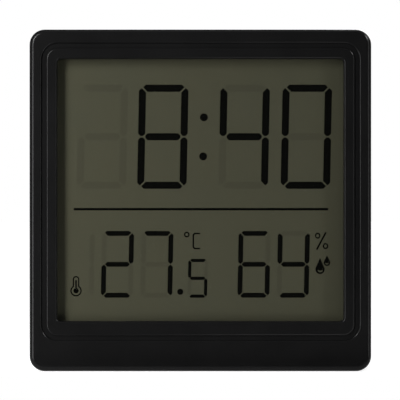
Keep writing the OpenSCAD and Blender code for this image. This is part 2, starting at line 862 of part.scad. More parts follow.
// Coil contact: one tube wound as a cone from the plate to the cell
module battery_spring() {
    sides = 6;
    per_turn = 12;
    rings = spring_turns * per_turn;
    wire_r = wire_d / 2;
    run = spring_l - wire_d - loose / 2 - 2 * slip;
    points = [
        for (i = [0 : rings], k = [0 : sides - 1])
            let (
                turn = 360 * i / per_turn,
                coil_r = (spring_d + (spring_tip_d - spring_d) * i / rings) / 2 - wire_r,
                along = wire_r + slip + run * i / rings + wire_r * sin(360 * k / sides),
                out = coil_r + wire_r * cos(360 * k / sides)
            )
            [along, out * cos(turn), out * sin(turn)]
    ];
    sides_faces = [
        for (i = [0 : rings - 1], k = [0 : sides - 1], half = [0, 1])
            let (
                a = i * sides + k,
                b = i * sides + (k + 1) % sides
            )
            half == 0 ? [a, b, a + sides] : [b, b + sides, a + sides]
    ];
    first_cap = [for (k = [1 : sides - 2]) [0, k + 1, k]];
    last_ring = rings * sides;
    last_cap = [for (k = [1 : sides - 2]) [last_ring, last_ring + k, last_ring + k + 1]];
    turn_gap = min([
        for (i = [0 : rings - per_turn])
            norm(points[(i + per_turn) * sides] - points[i * sides]) - wire_d
    ]);
    echo("least gap between turns of the spring", turn_gap);
    color("#c8c8c4") upright() translate([contact_t / 2 - contact_x, bay_y, cell_z])
        polyhedron(points = points, faces = concat(sides_faces, first_cap, last_cap));
}

// Contact plate with the tail that its lead is soldered to
module contact_plate(side) {
    tail_l = (bay_h - contact_h) / 2 + bay_wall + tail_reach;
    translate([side * contact_x, bay_y, cell_z]) cube([contact_t, contact_h, contact_h], center = true);
    translate([side * contact_x, bay_y - contact_h / 2 - tail_l / 2 + slip, cell_z + tail_w])
        cube([contact_t, tail_l + 2 * slip, tail_w], center = true);
}

module negative_contact() {
    color("#c2c2be") upright() contact_plate(-1);
}

module positive_contact() {
    color("#c2c2be") upright() contact_plate(1);
}

// Lead from a contact's tail down to the board, with one bend
module lead(side) {
    tail_end = bay_low - bay_wall - tail_reach;
    lead_z = cell_z + tail_w;
    bend_r = board_back_z - lead_z - slip;
    drop = 3;
    translate([side * contact_x, tail_end - slip, lead_z]) {
        rotate([90, 0, 0]) cylinder(d = lead_d, h = drop);
        translate([0, -drop, bend_r]) rotate([0, 90, 0]) rotate([0, 0, -90]) rotate_extrude(angle = 90)
            translate([bend_r, 0]) circle(d = lead_d);
    }
}

module red_lead() {
    color("#b3261e") upright() lead(1);
}

module black_lead() {
    color("#151515") upright() lead(-1);
}

module stand() {
    leg_z = pivot_z + stand_t / 2;
    color("#1e1e20") upright() difference() {
        union() {
            // leg with round foot corners, cut off at the barrel
            intersection() {
                translate([0, pivot_y, leg_z]) mirror([0, 0, 1])
                    rolled_block(stand_w, 2 * (pivot_y - stand_foot), stand_r, stand_round, stand_t);
                layer(leg_z + overcut, stand_t + 2 * overcut)
                    span_plate(stand_w + 2 * overcut, stand_foot - overcut, pivot_y);
            }
            // barrel and trunnions
            translate([0, pivot_y, pivot_z]) rotate([0, 90, 0]) {
                cylinder(d = stand_t, h = stand_w, center = true);
                cylinder(d = trunnion_d, h = stand_w + 2 * trunnion_l, center = true);
            }
            // heel that stops the stand on the floor of its recess
            layer(pivot_z + heel_in, stand_t / 2 + heel_in)
                span_plate(stand_w / 2, pivot_y, pivot_y + heel_h);
        }
        // hollow inner side
        layer(leg_z + overcut, stand_t / 2 + overcut)
            span_plate(stand_w - 2 * stand_r, stand_foot + 3 * stand_r, pivot_y - stand_t);
        // finger notch
        layer(leg_z + overcut, stand_t + 2 * overcut) translate([0, stand_foot - stand_r / 2])
            circle(2 * stand_r);
    }
}

// Pan screw with a cross recess, head down on z = 0 and shank upwards
module screw(d, l, head_d, head_h) {
    difference() {
        union() {
            translate([0, 0, -head_h]) cylinder(d = head_d, h = head_h);
            cylinder(d = d, h = l);
        }
        for (turn = [0, 90]) {
            rotate(turn) translate([0, 0, -head_h])
                cube([cross_l * head_d, cross_w * head_d, head_h], center = true);
        }
    }
}

module case_screws() {
    color("#8f9195") upright() at_case_screws() translate([0, 0, case_seat_z])
        screw(case_screw_d, case_screw_l, case_head_d, case_head_h);
}

module board_screws() {
    color("#8f9195") upright() {
        at_posts([post_low_y, post_high_y]) translate([0, 0, board_back_z])
            screw(board_screw_d, board_screw_l, board_head_d, board_head_h);
        at_posts([carrier_post_y]) translate([0, 0, board_z])
            screw(board_screw_d, board_screw_l, board_head_d, board_head_h);
    }
}

front_case();
rear_case();
lens_tape();
display_lens();
dust_gasket();
lcd_front_polariser();
lcd_front_glass();
lcd_seal();
lcd_rear_glass();
lcd_reflector();
lcd_carrier();
zebra_strip();
main_board();
controller_blob();
watch_crystal();
chip_capacitors();
humidity_sensor();
thermistor();
tact_switches();
switch_key(2);  // mode_switch_key
switch_key(1);  // up_switch_key
switch_key(0);  // down_switch_key
button(2);  // mode_button
button(1);  // up_button
button(0);  // down_button
battery_door();
battery_cell();
battery_spring();
negative_contact();
positive_contact();
red_lead();
black_lead();
stand();
case_screws();
board_screws();
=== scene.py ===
"""Looks of a square digital clock with thermometer and hygrometer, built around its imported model."""

import json
from itertools import combinations
from math import asin, cos, hypot, pi, sin

import bmesh
import bpy
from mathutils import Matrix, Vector


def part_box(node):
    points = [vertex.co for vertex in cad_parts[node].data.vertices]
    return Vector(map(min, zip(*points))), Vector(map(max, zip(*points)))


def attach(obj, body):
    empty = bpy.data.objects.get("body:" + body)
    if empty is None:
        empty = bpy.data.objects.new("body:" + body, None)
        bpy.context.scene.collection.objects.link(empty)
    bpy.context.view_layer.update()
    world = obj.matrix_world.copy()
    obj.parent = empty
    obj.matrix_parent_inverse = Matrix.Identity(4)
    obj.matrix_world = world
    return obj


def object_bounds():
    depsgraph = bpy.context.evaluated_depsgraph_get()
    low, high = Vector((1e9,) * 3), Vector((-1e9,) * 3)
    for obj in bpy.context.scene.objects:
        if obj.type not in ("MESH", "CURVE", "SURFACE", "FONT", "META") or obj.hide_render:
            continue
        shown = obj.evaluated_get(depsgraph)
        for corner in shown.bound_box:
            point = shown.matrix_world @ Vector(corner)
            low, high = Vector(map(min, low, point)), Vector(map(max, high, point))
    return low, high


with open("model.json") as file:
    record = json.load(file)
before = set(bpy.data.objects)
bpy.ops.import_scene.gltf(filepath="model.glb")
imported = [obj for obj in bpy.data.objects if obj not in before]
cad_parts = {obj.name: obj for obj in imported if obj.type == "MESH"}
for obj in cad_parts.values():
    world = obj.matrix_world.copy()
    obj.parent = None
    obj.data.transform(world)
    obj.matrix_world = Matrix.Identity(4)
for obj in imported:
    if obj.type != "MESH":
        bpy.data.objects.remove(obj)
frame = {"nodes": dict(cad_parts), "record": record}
cad_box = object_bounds()
front_face = cad_box[0].y
back_face = cad_box[1].y

# Sizes of finishes and display shapes are in millimetres, and this turns them into metres
MM = 0.001

# Noise lies mostly in this span
USUAL = (0.3, 0.7)

# A Mix node has sockets of the same names for numbers and colours, so those for colours go by number
MIX_FACTOR, MIX_FIRST, MIX_SECOND, MIX_RESULT = 0, 6, 7, 2


# Node helpers

def new_material(name):
    """A material, its node tree and its main shader."""
    material = bpy.data.materials.new(name)
    material.use_nodes = True
    tree = material.node_tree
    return material, tree, tree.nodes["Principled BSDF"]


def new_node(tree, kind, **settings):
    node = tree.nodes.new(kind)
    for key, value in settings.items():
        setattr(node, key, value)
    return node


def feed(tree, socket, value):
    """Sets a socket to a number or colour, or links it to another socket."""
    if isinstance(value, bpy.types.NodeSocket):
        tree.links.new(value, socket)
    else:
        socket.default_value = value


def coordinates(tree, stretch=(1, 1, 1)):
    """Places on the piece in metres, multiplied along each axis by stretch."""
    source = new_node(tree, "ShaderNodeTexCoord")
    mapping = new_node(tree, "ShaderNodeMapping")
    mapping.inputs["Scale"].default_value = stretch
    tree.links.new(source.outputs["Object"], mapping.inputs["Vector"])
    return mapping.outputs["Vector"]


def axis(tree, name):
    """One coordinate of the piece, in metres."""
    split = new_node(tree, "ShaderNodeSeparateXYZ")
    tree.links.new(coordinates(tree), split.inputs["Vector"])
    return split.outputs[name]


def noise(tree, size, detail=2, stretch=(1, 1, 1)):
    """Noise whose blotches are about size millimetres across."""
    node = new_node(tree, "ShaderNodeTexNoise")
    node.inputs["Scale"].default_value = 1 / (size * MM)
    node.inputs["Detail"].default_value = detail
    tree.links.new(coordinates(tree, stretch), node.inputs["Vector"])
    return node.outputs["Fac"]


def calculate(tree, operation, first, second=0.0):
    node = new_node(tree, "ShaderNodeMath", operation=operation)
    feed(tree, node.inputs[0], first)
    feed(tree, node.inputs[1], second)
    return node.outputs["Value"]


def remap(tree, value, span, result, smooth=False):
    """Turns value's span into the result's span, held at both ends."""
    node = new_node(tree, "ShaderNodeMapRange")
    node.interpolation_type = "SMOOTHSTEP" if smooth else "LINEAR"
    feed(tree, node.inputs["Value"], value)
    node.inputs["From Min"].default_value, node.inputs["From Max"].default_value = span
    node.inputs["To Min"].default_value, node.inputs["To Max"].default_value = result
    return node.outputs["Result"]


def blotches(tree, size, detail, result=(0, 1)):
    """Noise spread over the span of result."""
    return remap(tree, noise(tree, size, detail), USUAL, result)


def mix(tree, factor, first, second):
    """Colour between first and second."""
    node = new_node(tree, "ShaderNodeMix", data_type="RGBA")
    feed(tree, node.inputs[MIX_FACTOR], factor)
    for number, colour in ((MIX_FIRST, first), (MIX_SECOND, second)):
        linked = isinstance(colour, bpy.types.NodeSocket)
        feed(tree, node.inputs[number], colour if linked else (*colour, 1))
    return node.outputs[MIX_RESULT]


def bump(tree, shader, height, depth):
    """Raises the surface by up to depth millimetres where height is 1."""
    node = new_node(tree, "ShaderNodeBump")
    node.inputs["Distance"].default_value = depth * MM
    tree.links.new(height, node.inputs["Height"])
    tree.links.new(node.outputs["Normal"], shader.inputs["Normal"])


def shade(colour, share):
    return tuple(channel * share for channel in colour)


def around(value, spread):
    return value - spread, value + spread


# Finishes

# Moulded plastic: clouds of colour, patches of gloss, and how far both vary
CLOUD = {"size": 9, "detail": 4}
PATCH = {"size": 4, "detail": 5}
CLOUD_SPREAD = 0.12
PATCH_SPREAD = 0.04

# Black case: the satin front, and the wear by handling from this share of the way out to its edges
CASE_DARK = (0.0076, 0.0076, 0.0077)
CASE_LIGHT = (0.0092, 0.0092, 0.0093)
CASE_ROUGHNESS = (0.18, 0.23)
CASE_SPECULAR = 0.15
CASE_GRAIN = 0.16
CASE_GRAIN_DEPTH = 0.001
WEAR_SPAN = (0.967, 0.985)
WEAR_PATCH = {"size": 5, "detail": 5, "result": (0.2, 1)}
WORN_COLOUR = (0.009, 0.009, 0.0092)
WORN_POLISH = 0.05

# The satin front turns matt within its rounded edge, between these depths in millimetres
MATT_START = 0.9
MATT_END = 1.4
MATT_RISE = 0.4
MATT_DARK = (0.0125, 0.0125, 0.0127)
MATT_LIGHT = (0.0155, 0.0155, 0.0158)

# Display: the film, the tint of its warmer clouds, segments that are off, and driven ones
FILM = (0.061, 0.0606, 0.0384)
WARM_TINT = (1.02, 1, 0.97)
GHOST_SHARE = 0.86
INK = (0.0022, 0.0023, 0.0018)

# Foam cells, the board's unit of pattern, and the silver band of the battery's jacket with its soft edge
FOAM_CELL = 0.25
FOAM_SPAN = (0, 0.6)
BOARD_UNIT = 6
BAND = 9
BAND_EDGE = 0.1


def moulded(name, colour, roughness, grain, depth, specular=0.5):
    """Moulded plastic: cloudy colour, uneven gloss and a fine grain, grain and depth in millimetres."""
    material, tree, shader = new_material(name)
    dark, light = (shade(colour, share) for share in around(1, CLOUD_SPREAD))
    feed(tree, shader.inputs["Base Color"], mix(tree, blotches(tree, **CLOUD), dark, light))
    gloss = blotches(tree, **PATCH, result=around(roughness, PATCH_SPREAD))
    feed(tree, shader.inputs["Roughness"], gloss)
    bump(tree, shader, noise(tree, grain), depth)
    shader.inputs["Specular IOR Level"].default_value = specular
    return material


def case_plastic():
    """Black plastic: satin in front, matt on the sides and the back, a little polished along its edges."""
    material, tree, shader = new_material("case_plastic")
    low, high = cad_box
    shares = []
    for letter, centre, half in zip("XYZ", (low + high) / 2, (high - low) / 2):
        offset = calculate(tree, "SUBTRACT", axis(tree, letter), centre)
        shares.append(calculate(tree, "DIVIDE", calculate(tree, "ABSOLUTE", offset), half))
    edge, *others = (calculate(tree, "MULTIPLY", *pair) for pair in combinations(shares, 2))
    for other in others:
        edge = calculate(tree, "MAXIMUM", edge, other)
    edge_wear = remap(tree, edge, WEAR_SPAN, (0, 1), smooth=True)
    wear = calculate(tree, "MULTIPLY", edge_wear, blotches(tree, **WEAR_PATCH))
    matt_depths = (front_face + MATT_START * MM, front_face + MATT_END * MM)
    matt = remap(tree, axis(tree, "Y"), matt_depths, (0, 1), smooth=True)
    cloud = blotches(tree, **CLOUD)
    front = mix(tree, cloud, CASE_DARK, CASE_LIGHT)
    back = mix(tree, cloud, MATT_DARK, MATT_LIGHT)
    colour = mix(tree, wear, mix(tree, matt, front, back), WORN_COLOUR)
    feed(tree, shader.inputs["Base Color"], colour)
    satin = blotches(tree, **PATCH, result=CASE_ROUGHNESS)
    roughness = calculate(tree, "ADD", satin, calculate(tree, "MULTIPLY", matt, MATT_RISE))
    polish = calculate(tree, "MULTIPLY", wear, WORN_POLISH)
    feed(tree, shader.inputs["Roughness"], calculate(tree, "SUBTRACT", roughness, polish))
    bump(tree, shader, noise(tree, CASE_GRAIN), CASE_GRAIN_DEPTH)
    shader.inputs["Specular IOR Level"].default_value = CASE_SPECULAR
    return material


def clear_lens():
    """Clear acrylic with hardly visible haze."""
    material, tree, shader = new_material("clear_lens")
    hazy, clear = (0.96, 0.975, 0.97), (0.985, 0.99, 0.985)
    feed(tree, shader.inputs["Base Color"], mix(tree, blotches(tree, size=7, detail=4), hazy, clear))
    shader.inputs["Roughness"].default_value = 0.015
    shader.inputs["IOR"].default_value = 1.49
    shader.inputs["Transmission Weight"].default_value = 1.0
    return material


def printed_film(name, colour):
    """Display film: even satin colour with the faint grain of the reflector behind it."""
    material, tree, shader = new_material(name)
    grain = blotches(tree, size=0.14, detail=2)
    warm = tuple(channel * share for channel, share in zip(colour, WARM_TINT))
    plain_film = mix(tree, grain, shade(colour, 0.95), shade(colour, 1.05))
    warm_film = mix(tree, grain, shade(warm, 0.96), shade(warm, 1.06))
    cloud = blotches(tree, size=16, detail=3)
    feed(tree, shader.inputs["Base Color"], mix(tree, cloud, plain_film, warm_film))
    feed(tree, shader.inputs["Roughness"], blotches(tree, size=3, detail=3, result=(0.52, 0.6)))
    shader.inputs["Specular IOR Level"].default_value = 0.12
    return material


def display_ink():
    """Driven segments: nearly black, with a trace of the film's tint."""
    material, tree, shader = new_material("display_ink")
    dark, light = shade(INK, 0.88), shade(INK, 1.12)
    feed(tree, shader.inputs["Base Color"], mix(tree, blotches(tree, size=2, detail=3), dark, light))
    shader.inputs["Roughness"].default_value = 0.6
    shader.inputs["Specular IOR Level"].default_value = 0.0
    return material


def flat_glass():
    """Thin display glass with a green tint."""
    material, tree, shader = new_material("display_glass")
    dark, light = (0.8, 0.88, 0.84), (0.86, 0.92, 0.89)
    feed(tree, shader.inputs["Base Color"], mix(tree, blotches(tree, size=12, detail=2), dark, light))
    shader.inputs["Roughness"].default_value = 0.02
    shader.inputs["Transmission Weight"].default_value = 0.9
    return material


def brushed(name, colour, roughness, stretch):
    """Sheet metal with lines drawn out along one axis."""
    material, tree, shader = new_material(name)
    lines = noise(tree, size=0.25, detail=3, stretch=stretch)
    dark, light = shade(colour, 0.82), shade(colour, 1.1)
    feed(tree, shader.inputs["Base Color"], mix(tree, remap(tree, lines, USUAL, (0, 1)), dark, light))
    gloss = remap(tree, lines, USUAL, around(roughness, spread=0.07))
    feed(tree, shader.inputs["Roughness"], gloss)
    bump(tree, shader, lines, depth=0.004)
    shader.inputs["Metallic"].default_value = 1.0
    return material


def foam():
    """Black foam with open cells, whose hollows are painted darker as shade."""
    material, tree, shader = new_material("foam_tape")
    cells = new_node(tree, "ShaderNodeTexVoronoi")
    cells.inputs["Scale"].default_value = 1 / (FOAM_CELL * MM)
    tree.links.new(coordinates(tree), cells.inputs["Vector"])
    # Painted shade: each cell's hollow is darker than its walls, following the bump's height
    shaded_hollow, wall = (0.004, 0.004, 0.004), (0.012, 0.012, 0.012)
    height = remap(tree, cells.outputs["Distance"], FOAM_SPAN, (0, 1))
    feed(tree, shader.inputs["Base Color"], mix(tree, height, shaded_hollow, wall))
    bump(tree, shader, height, depth=0.05)
    shader.inputs["Roughness"].default_value = 0.95
    return material


def banded(name, letter, pitch, first, second, roughness):
    """Even stripes of two colours along one axis, pitch in millimetres."""
    material, tree, shader = new_material(name)
    turns = calculate(tree, "FRACT", calculate(tree, "DIVIDE", axis(tree, letter), pitch * MM))
    stripe = remap(tree, turns, around(0.5, spread=0.05), (0, 1))
    feed(tree, shader.inputs["Base Color"], mix(tree, stripe, first, second))
    gloss = blotches(tree, size=1, detail=3, result=around(roughness, spread=0.06))
    feed(tree, shader.inputs["Roughness"], gloss)
    return material


def circuit_board():
    """Green solder mask over rows of copper tracks, which show as lighter raised lines."""
    material, tree, shader = new_material("board_laminate")
    tracks = new_node(tree, "ShaderNodeTexBrick")
    tracks.inputs["Scale"].default_value = 1 / (BOARD_UNIT * MM)
    tracks.inputs["Mortar Size"].default_value = 0.035
    quarter_turn = new_node(tree, "ShaderNodeMapping")
    quarter_turn.inputs["Rotation"].default_value = (pi / 2, 0, 0)
    tree.links.new(coordinates(tree), quarter_turn.inputs["Vector"])
    tree.links.new(quarter_turn.outputs["Vector"], tracks.inputs["Vector"])
    dark, light, raised = (0.012, 0.085, 0.035), (0.018, 0.11, 0.045), (0.04, 0.19, 0.075)
    mask = mix(tree, blotches(tree, size=5, detail=3), dark, light)
    feed(tree, shader.inputs["Base Color"], mix(tree, tracks.outputs["Fac"], mask, raised))
    bump(tree, shader, tracks.outputs["Fac"], depth=0.03)
    shader.inputs["Roughness"].default_value = 0.32
    return material


def cell_jacket():
    """Plain shrink film on the cell: an olive body and a silver band beside the tip."""
    material, tree, shader = new_material("cell_jacket")
    band_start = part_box("battery_cell")[1].x - BAND * MM
    silver = remap(tree, axis(tree, "X"), (band_start - BAND_EDGE * MM, band_start), (0, 1))
    rubbed = blotches(tree, size=1.5, detail=4)
    body = mix(tree, rubbed, (0.15, 0.175, 0.075), (0.2, 0.22, 0.11))
    band = mix(tree, rubbed, (0.46, 0.46, 0.44), (0.56, 0.56, 0.53))
    feed(tree, shader.inputs["Base Color"], mix(tree, silver, body, band))
    feed(tree, shader.inputs["Metallic"], remap(tree, silver, (0, 1), (0.1, 0.9)))
    feed(tree, shader.inputs["Roughness"], remap(tree, rubbed, (0, 1), (0.22, 0.32)))
    return material


# One finish for each of the record's material slots
FINISHES = {
    "case_plastic": case_plastic(),
    "button_plastic": moulded("button_plastic", (0.008, 0.008, 0.0085), roughness=0.42, grain=0.12,
                              depth=0.002, specular=0.22),
    "clear_lens": clear_lens(),
    "display_film": printed_film("display_film", FILM),
    "display_glass": flat_glass(),
    "edge_seal": moulded("edge_seal", (0.3, 0.3, 0.25), roughness=0.6, grain=0.2, depth=0.004),
    "reflector_film": brushed("reflector_film", (0.5, 0.5, 0.44), roughness=0.45, stretch=(1, 1, 0.1)),
    "foam_tape": foam(),
    "carrier_plastic": moulded("carrier_plastic", (0.02, 0.02, 0.022), roughness=0.55, grain=0.2,
                               depth=0.004),
    "zebra_rubber": banded("zebra_rubber", "X", pitch=0.2, first=(0.02, 0.02, 0.022),
                           second=(0.3, 0.3, 0.32), roughness=0.6),
    "board_laminate": circuit_board(),
    "black_epoxy": moulded("black_epoxy", (0.006, 0.006, 0.006), roughness=0.25, grain=0.8, depth=0.02),
    "chip_ceramic": moulded("chip_ceramic", (0.4, 0.29, 0.17), roughness=0.55, grain=0.15, depth=0.004),
    "sensor_plastic": moulded("sensor_plastic", (0.7, 0.7, 0.68), roughness=0.5, grain=0.2, depth=0.003),
    "switch_plastic": moulded("switch_plastic", (0.025, 0.025, 0.03), roughness=0.45, grain=0.2,
                              depth=0.003),
    "bright_metal": brushed("bright_metal", (0.62, 0.61, 0.57), roughness=0.28, stretch=(1, 0.1, 1)),
    "screw_steel": brushed("screw_steel", (0.42, 0.43, 0.45), roughness=0.3, stretch=(1, 1, 0.2)),
    "cell_jacket": cell_jacket(),
    "red_insulation": moulded("red_insulation", (0.45, 0.02, 0.015), roughness=0.4, grain=0.3,
                              depth=0.003),
    "black_insulation": moulded("black_insulation", (0.008, 0.008, 0.008), roughness=0.4, grain=0.3,
                                depth=0.003),
}
GHOST_FINISH = printed_film("ghost_film", shade(FILM, GHOST_SHARE))
INK_FINISH = display_ink()

for part in frame["record"]["subparts"]:
    for holder in frame["nodes"][part["node"]].material_slots:
        holder.material = FINISHES[part["material_slot"]]

# Light from the lamps and light scattered by the display pass the clear lens as if it weren't there
lens = frame["nodes"]["display_lens"]
lens.visible_shadow = False
lens.visible_diffuse = False


# Display: thin shapes on the front of the film, drawn in millimetres across (x) and up (z)

# A shape is a pair: its outer outline, and the outline of its hole or None

# Thickness of the segments that are driven and of those that are off
INK_THICKNESS = 0.03
GHOST_THICKNESS = 0.015
film_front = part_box("lcd_front_polariser")[0].y

# How far digits lean to the right for each millimetre up
SLANT = 0.02

# Both ends of each segment's middle line, in halves of the digit's width and height, and its outer side
SEGMENTS = {
    "a": ((-1, 1), (1, 1), (0, 1)),
    "b": ((1, 1), (1, 0), (1, 0)),
    "c": ((1, -1), (1, 0), (1, 0)),
    "d": ((-1, -1), (1, -1), (0, -1)),
    "e": ((-1, -1), (-1, 0), (-1, 0)),
    "f": ((-1, 1), (-1, 0), (-1, 0)),
    "g": ((-1, 0), (1, 0), (0, 1)),
}

# Ends of segments, in shares of their width: how far they stop short of a corner's diagonal (mitre),
# of the line across it that cuts off the outer corner (clip), and of the joint at half height (gap)
LEVEL_MITRE, LEVEL_CLIP = 0.21, -0.04
UPRIGHT_MITRE, UPRIGHT_CLIP = 0.1, -0.14
UPRIGHT_GAP = 0.11


class Digit:
    """Seven segments round a centre; width and height are measured between middle lines."""

    def __init__(self, width, height, stroke, waist, flat):
        """The middle segment stops waist short of its joints; flat is the width of blunt ends."""
        self.half = Vector((width / 2, height / 2))
        self.stroke = stroke
        self.waist = waist
        self.flat = flat

    def corner_end(self, mitre, clip):
        """Distances along a segment and outwards from its middle line, from its inner to its outer side."""
        side = self.stroke / 2
        mitre, clip = mitre * self.stroke, clip * self.stroke
        return [(side + mitre, -side), ((mitre + clip) / 2, (mitre - clip) / 2), (side + clip, side)]

    def blunt_end(self, gap):
        """The same, for an end at half height that stops gap short of its joint."""
        side, flat = self.stroke / 2, self.flat / 2
        return [(gap + side - flat, -side), (gap, -flat), (gap, flat), (gap + side - flat, side)]

    def ends(self, name):
        """Both ends of a segment, in the order of its middle line."""
        if name in "ad":
            return [self.corner_end(LEVEL_MITRE, LEVEL_CLIP)] * 2
        if name == "g":
            return [self.blunt_end(self.waist)] * 2
        corner = self.corner_end(UPRIGHT_MITRE, UPRIGHT_CLIP)
        return corner, self.blunt_end(UPRIGHT_GAP * self.stroke)

    def shapes(self, names, x, z):
        """Outlines of the named segments of a digit centred on x, z."""
        outlines = []
        for name in names:
            *joints, side = SEGMENTS[name]
            start, end = (Vector((u * self.half.x, v * self.half.y)) for u, v in joints)
            along, outwards = (end - start).normalized(), Vector(side)
            first, last = self.ends(name)
            points = [start + along * u + outwards * v for u, v in first]
            points += [end - along * u + outwards * v for u, v in reversed(last)]
            outlines.append(([(x + p.x + SLANT * p.y, z + p.y) for p in points], None))
        return outlines


def arc(x, z, across, up, start, end, steps):
    """Points on an oval round x, z from angle start to angle end, in radians."""
    angles = [start + (end - start) * i / steps for i in range(steps + 1)]
    return [(x + across * cos(a), z + up * sin(a)) for a in angles]


def oval(x, z, width, height, steps=32):
    return arc(x, z, width / 2, height / 2, 0, 2 * pi, steps)[:-1]


def dot(x, z, diameter):
    return oval(x, z, diameter, diameter), None


def oval_ring(x, z, width, height, stroke):
    """Oval line whose outer size is width by height."""
    return oval(x, z, width, height), oval(x, z, width - 2 * stroke, height - 2 * stroke)


def normals(points, closed):
    """Mitred unit offsets at each point of a line, to its left."""
    count = len(points)
    offsets = []
    for i, (x, z) in enumerate(points):
        before = points[i - 1] if closed or i > 0 else (x, z)
        after = points[(i + 1) % count] if closed or i < count - 1 else (x, z)
        sides = []
        for (x0, z0), (x1, z1) in ((before, (x, z)), ((x, z), after)):
            length = hypot(x1 - x0, z1 - z0)
            if length:
                sides.append(Vector((z0 - z1, x1 - x0)) / length)
        middle = sum(sides, Vector((0, 0))).normalized()
        offsets.append(middle / middle.dot(sides[0]))
    return offsets


def beside(points, offsets, distance):
    """The line's points, moved by distance to its left."""
    return [(x + n.x * distance, z + n.y * distance) for (x, z), n in zip(points, offsets)]


def stroke_line(points, stroke):
    """Outline of an open line of even width."""
    offsets = normals(points, closed=False)
    left, right = (beside(points, offsets, side * stroke / 2) for side in (1, -1))
    return left + right[::-1], None


def stroke_loop(points, stroke):
    """Outer and inner outline of a closed line of even width, drawn against the clock."""
    offsets = normals(points, closed=True)
    return tuple(beside(points, offsets, side * stroke / 2) for side in (-1, 1))


def teardrop(x, low, high, width, steps=24):
    """Drop with its round end at low and its tip at high."""
    radius = width / 2
    centre = low + radius
    lean = asin(radius / (high - centre))
    round_end = arc(x, centre, radius, radius, pi - lean, 2 * pi + lean, steps)
    return round_end + [(x, high)], None


def crescent(x, z, radius, stroke, spread, steps=12):
    """Thin smile, low inside a drop: part of a circle that thins towards its ends."""
    middle = 1.5 * pi
    outer = arc(x, z, radius, radius, middle - spread, middle + spread, steps)
    inner = arc(x, z + stroke, radius, radius, middle + spread, middle - spread, steps)
    return outer + inner[1:-1], None


def thermometer_outline(x, bulb_z, bulb, tube, top, steps=12):
    """Middle line of a bulb with a round-topped tube, against the clock from the cap's right end."""
    foot = asin(tube / bulb)
    cap = arc(x, top - tube / 2, tube / 2, tube / 2, 0, pi, steps)
    return cap + arc(x, bulb_z, bulb / 2, bulb / 2, pi / 2 + foot, 2.5 * pi - foot, 2 * steps)


def prism(mesh, outer, inner, back, front):
    """Closed thin solid between two planes, with a hole where inner is given."""
    rims = []
    for loop in [outer] if inner is None else [outer, inner]:
        rims.append([[mesh.verts.new((x * MM, y, z * MM)) for x, z in loop] for y in (back, front)])
    for low, high in rims:
        for i in range(len(low)):
            mesh.faces.new((low[i - 1], low[i], high[i], high[i - 1]))
    for side in (0, 1):
        if inner is None:
            mesh.faces.new(rims[0][side])
            continue
        wide, narrow = rims[0][side], rims[1][side]
        for i in range(len(wide)):
            mesh.faces.new((wide[i - 1], wide[i], narrow[i], narrow[i - 1]))


def inlay(name, shapes, finish=INK_FINISH, thickness=INK_THICKNESS, back=film_front):
    """Piece made of thin shapes that lie on the plane y = back and face the front."""
    mesh = bmesh.new()
    for outer, inner in shapes:
        prism(mesh, outer, inner, back, back - thickness * MM)
    mesh.normal_update()
    bmesh.ops.triangulate(mesh, faces=[f for f in mesh.faces if len(f.verts) > 4])
    bmesh.ops.recalc_face_normals(mesh, faces=mesh.faces)
    data = bpy.data.meshes.new(name)
    mesh.to_mesh(data)
    mesh.free()
    data.materials.append(finish)
    piece = bpy.data.objects.new(name, data)
    bpy.context.scene.collection.objects.link(piece)
    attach(piece, "case")


# Upper line: the time
TIME = Digit(width=11.2, height=25.65, stroke=1.87, waist=0.98, flat=0.6)
TIME_Z = 61.82
TENS_X, HOUR_X, MINUTE_TENS_X, MINUTE_X = -25.89, -9.93, 11.59, 28.01
COLON = ((0.93, 66.96), (0.74, 56.63))
COLON_D = 2.08
time_shapes = (
    TIME.shapes("abcdefg", HOUR_X, TIME_Z)
    + TIME.shapes("bcfg", MINUTE_TENS_X, TIME_Z)
    + TIME.shapes("abcdef", MINUTE_X, TIME_Z)
    + [dot(x, z, COLON_D) for x, z in COLON]
)
inlay("time_segments", time_shapes)

# Line between the upper and the lower half
DIVIDER = ((-33.47, 42.67), (33.79, 42.67))
DIVIDER_STROKE = 0.64
inlay("divider_line", [stroke_line(DIVIDER, DIVIDER_STROKE)])

# Lower line: temperature
LOWER = Digit(width=7.17, height=16.34, stroke=1.28, waist=0.35, flat=0.16)
LOWER_Z = 28.1
HUNDREDS_X, DEGREE_TENS_X, DEGREE_X = -32.3, -21.92, -11.5
TENTH = Digit(width=4.29, height=9.43, stroke=0.85, waist=0.12, flat=0.1)
TENTH_X, TENTH_Z = -0.71, 24.4
POINT = {"x": -5.33, "z": 20.84, "diameter": 1.6}
DEGREE_RING = {"x": -3.6, "z": 35.96, "width": 1.45, "height": 1.5, "stroke": 0.33}
C_LEFT, C_RIGHT, C_LOW, C_HIGH = -1.88, -0.04, 32.27, 36.25
C_CLIP = 0.4
C_STROKE = 0.38
letter_c = [(C_RIGHT, C_HIGH), (C_LEFT + C_CLIP, C_HIGH), (C_LEFT, C_HIGH - C_CLIP),
            (C_LEFT, C_LOW + C_CLIP), (C_LEFT + C_CLIP, C_LOW), (C_RIGHT, C_LOW)]
temperature_shapes = (
    LOWER.shapes("abdeg", DEGREE_TENS_X, LOWER_Z)
    + LOWER.shapes("abc", DEGREE_X, LOWER_Z)
    + TENTH.shapes("acdfg", TENTH_X, TENTH_Z)
    + [dot(**POINT), oval_ring(**DEGREE_RING), stroke_line(letter_c, C_STROKE)]
)
inlay("temperature_segments", temperature_shapes)

# Thermometer sign: the outline of its glass, and the column inside
GLASS = {"x": -32.87, "bulb_z": 21.12, "bulb": 2.66, "tube": 1.4, "top": 24.84}
GLASS_STROKE = 0.33
COLUMN_TOP = 23.9
COLUMN_STROKE = 0.4
COLUMN_BULB = 1.4
column_foot = (GLASS["x"], GLASS["bulb_z"])
thermometer_shapes = [
    stroke_loop(thermometer_outline(**GLASS), GLASS_STROKE),
    dot(*column_foot, COLUMN_BULB),
    stroke_line([column_foot, (GLASS["x"], COLUMN_TOP)], COLUMN_STROKE),
]
inlay("thermometer_sign", thermometer_shapes)

